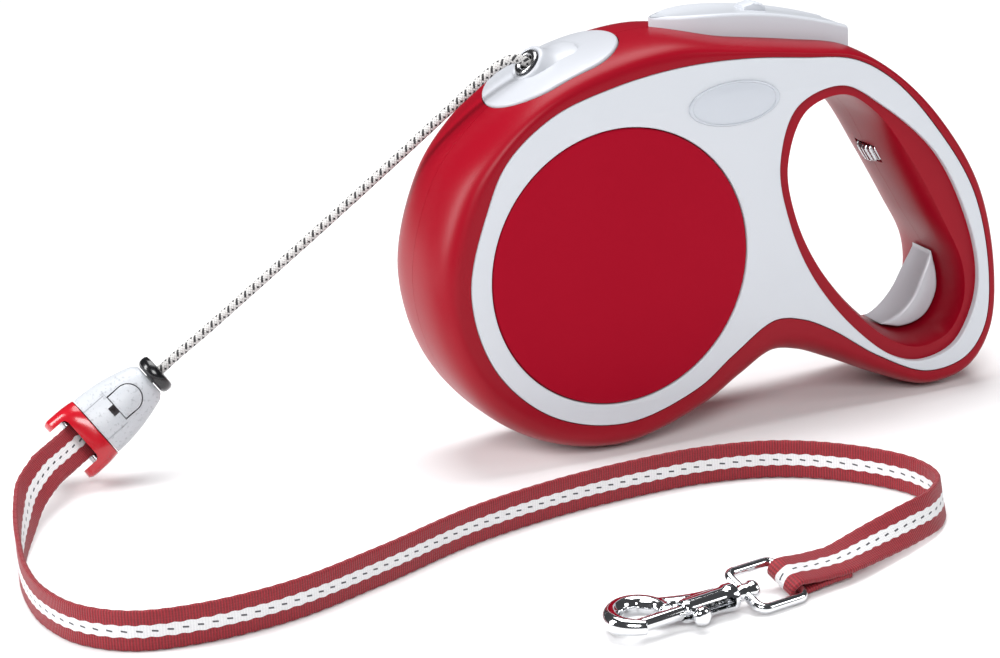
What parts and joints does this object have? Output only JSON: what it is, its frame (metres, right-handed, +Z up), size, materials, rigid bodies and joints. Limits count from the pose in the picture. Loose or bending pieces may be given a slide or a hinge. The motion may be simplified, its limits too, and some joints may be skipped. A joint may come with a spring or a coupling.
{
  "type": "retractable leash",
  "caption": "Hand-held retractable leash: rounded case with a cord reel, thumb brake and adjustable grip, and a webbing strap ending in a snap hook.",
  "frame": {"origin": "middle of the case's length and thickness, on the ground its underside stands on", "axes": "+X from the reel towards the grip, +Y through the thickness away from the side the strap lies on, +Z up"},
  "size_m": [0.3431, 0.2137, 0.1355],
  "materials": {
    "case_red": "satin crimson moulding",
    "trim_grey": "smooth light blue-grey moulding",
    "inner_black": "dark moulding inside the case",
    "stopper_black": "glossy black",
    "steel": "plain bright steel",
    "chrome": "polished plating",
    "braid": "pale braided cord with dark flecks",
    "webbing": "crimson ribbed webbing with a pale reflective stripe"
  },
  "bodies": {
    "case": {"near_shell": "case_red", "far_shell": "case_red", "near_trim": "trim_grey", "far_trim": "trim_grey", "near_disc": "case_red", "far_disc": "case_red", "near_badge": "trim_grey", "far_badge": "trim_grey", "case_screw_1": "steel", "case_screw_2": "steel", "case_screw_3": "steel", "case_screw_4": "steel", "case_screw_5": "steel", "reel_axle": "steel", "spiral_spring": "steel", "cord_outlet": "trim_grey", "outlet_eyelet": "steel", "brake_spring": "steel", "cord": "braid", "stopper": "stopper_black", "coupler_body": "trim_grey", "coupler_fork": "case_red", "fork_pin": "steel", "fork_loop": "webbing", "strap": "webbing", "hook_loop": "webbing", "swivel_eye": "chrome"},
    "reel": {"reel_drum": "inner_black", "wound_cord": "braid", "spring_cover": "inner_black"},
    "brake": {"brake_button": "trim_grey", "brake_pawl": "inner_black"},
    "lock": {"lock_slider": "trim_grey"},
    "adjuster": {"adjuster_wheel": "steel", "adjuster_spindle": "steel"},
    "pad": {"grip_pad": "trim_grey"},
    "coupler_release": {"coupler_button": "trim_grey"},
    "hook": {"hook_body": "chrome", "bolt_spring": "steel"},
    "bolt": {"hook_bolt": "chrome"}
  },
  "joints": [
    {"name": "reel_spin", "type": "hinge", "parent": "case", "child": "reel", "pos_m": [-0.0386, 0, 0.0614], "axis": [0, 1, 0], "continuous": true},
    {"name": "brake_press", "type": "slide", "parent": "case", "child": "brake", "axis": [-0.2161, 0, -0.9764], "range_m": [0, 0.003], "stiffness_N_per_m": 900, "springref_m": -0.003, "deforming": ["brake_spring"]},
    {"name": "lock_slide", "type": "slide", "parent": "brake", "child": "lock", "axis": [0.9754, 0, -0.2204], "range_m": [-0.004, 0.004]},
    {"name": "adjuster_turn", "type": "hinge", "parent": "case", "child": "adjuster", "pos_m": [0.0678, 0, 0.0816], "axis": [-0.5, 0, 0.866], "range_deg": [-10, 370]},
    {"name": "pad_slide", "type": "slide", "parent": "case", "child": "pad", "axis": [-0.5, 0, 0.866], "range_m": [0, 0.006]},
    {"name": "coupler_release", "type": "slide", "parent": "case", "child": "coupler_release", "axis": [0.2932, 0.9009, -0.3201], "range_m": [0, 0.0016], "stiffness_N_per_m": 400, "springref_m": -0.0016},
    {"name": "hook_swivel", "type": "hinge", "parent": "case", "child": "hook", "pos_m": [-0.067, -0.1476, 0.0045], "axis": [-0.9854, -0.1701, 0], "continuous": true},
    {"name": "bolt_slide", "type": "slide", "parent": "hook", "child": "bolt", "axis": [0.9854, 0.1701, 0], "range_m": [0, 0.0094], "stiffness_N_per_m": 150, "springref_m": -0.004, "deforming": ["bolt_spring"]}
  ],
  "couplings": [
    {"joint": "adjuster_turn", "follows": "pad_slide", "rad_per_m": 1047.2}
  ]
}
